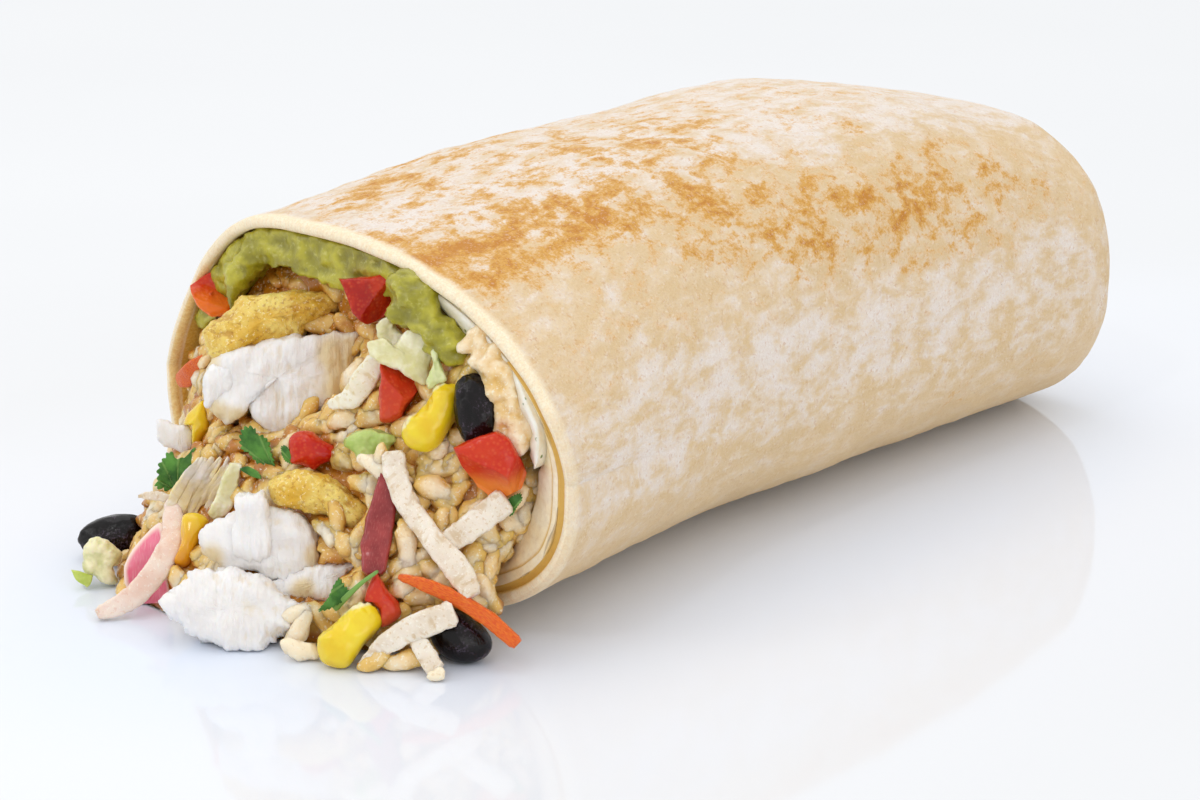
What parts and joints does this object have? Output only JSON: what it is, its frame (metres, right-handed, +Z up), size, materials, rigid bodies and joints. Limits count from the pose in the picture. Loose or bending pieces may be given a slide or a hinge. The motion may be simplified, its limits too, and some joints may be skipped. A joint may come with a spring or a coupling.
{
  "type": "burrito",
  "caption": "Burrito lying on its side: a toasted flour tortilla roll, tucked shut at one end, with rice, fish, beans and salsa spilling from the open end.",
  "frame": {"origin": "centre of the footprint's bounding box, on the ground the burrito lies on", "axes": "+Y along the roll from the open end to the tucked end, +Z up"},
  "size_m": [0.0913, 0.1909, 0.0598],
  "materials": {
    "tortilla": "toasted flour tortilla, matte, mottled",
    "rice": "cooked rice, moist",
    "guacamole": "mashed avocado, moist",
    "cream": "cream sauce, wet",
    "fish": "flaked white fish with golden batter",
    "tomato": "cut tomato and red pepper, wet",
    "corn": "sweetcorn kernel, glossy skin",
    "bean": "cooked black bean, glossy skin",
    "cheese": "grated pale cheese",
    "carrot": "raw carrot shred",
    "onion": "pickled red onion",
    "herb": "coriander leaf",
    "lettuce": "crisp lettuce rib",
    "cabbage": "pale cabbage leaf"
  },
  "bodies": {
    "root": {"carrot_front": "carrot", "cheese_front": "cheese", "cheese_low": "cheese", "cheese_long": "cheese", "cheese_across": "cheese", "cheese_curl": "cheese", "cheese_thin": "cheese", "cheese_slip": "cheese", "onion_centre": "onion", "corn_centre": "corn", "corn_front": "corn", "corn_left": "corn", "corn_side": "corn", "bean_front": "bean", "bean_right": "bean", "bean_left": "bean", "tomato_right": "tomato", "tomato_centre": "tomato", "tomato_top": "tomato", "tomato_left": "tomato", "tomato_small": "tomato", "tomato_low": "tomato", "herb_left": "herb", "herb_top": "herb", "herb_front": "herb", "herb_right": "herb", "lettuce_centre": "lettuce", "lettuce_left": "lettuce", "lettuce_chip": "lettuce", "cabbage_upper": "cabbage", "cabbage_middle": "cabbage", "cabbage_right": "cabbage", "cabbage_left": "cabbage", "cabbage_rib": "cabbage", "onion_left": "onion", "carrot_left": "carrot", "fish_flake": "fish", "fish_front": "fish", "batter_lower": "fish", "fish_lower": "fish", "fish_upper": "fish", "guacamole": "guacamole", "cream_sauce": "cream", "rice_filling": "rice", "tortilla": "tortilla"}
  },
  "joints": []
}
